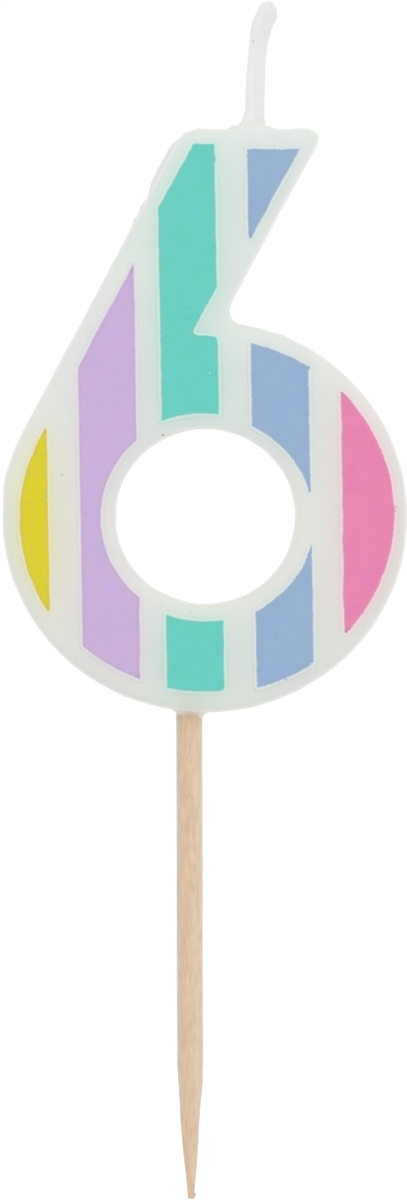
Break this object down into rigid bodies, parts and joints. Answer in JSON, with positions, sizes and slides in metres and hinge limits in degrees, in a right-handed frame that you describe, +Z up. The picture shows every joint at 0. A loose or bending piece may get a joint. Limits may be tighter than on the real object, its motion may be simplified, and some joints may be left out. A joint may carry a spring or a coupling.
{
  "type": "number candle",
  "caption": "Birthday candle shaped as the numeral 6, with striped film on its front face, a waxed wick on top and a wooden pick that goes into a cake.",
  "frame": {"origin": "on the pick's axis, level with the numeral's lowest point, which comes down onto the cake, and midway through the thickness of the wax", "axes": "+Z up along the pick, towards the wick; the printed front faces -Y and the flat back faces +Y; +X to the right as seen from the front"},
  "size_m": [0.0486, 0.0091, 0.144],
  "materials": {
    "wax": "translucent white candle wax, satin, a little lighter along its edges",
    "wick_wax": "thin dull coat of white wax over cord",
    "cotton": "bleached cotton cord",
    "birch": "bare turned birch with fine straight grain",
    "film_yellow": "thin printed film, satin",
    "film_purple": "thin printed film, satin",
    "film_teal": "thin printed film, satin",
    "film_blue": "thin printed film, satin",
    "film_pink": "thin printed film, satin"
  },
  "bodies": {
    "root": {"wax_body": "wax", "wick_coat": "wick_wax", "wick_core": "cotton", "wooden_pick": "birch", "print_yellow": "film_yellow", "print_purple": "film_purple", "print_teal_upper": "film_teal", "print_teal_lower": "film_teal", "print_blue_top": "film_blue", "print_blue_upper": "film_blue", "print_blue_lower": "film_blue", "print_pink": "film_pink"}
  },
  "joints": []
}
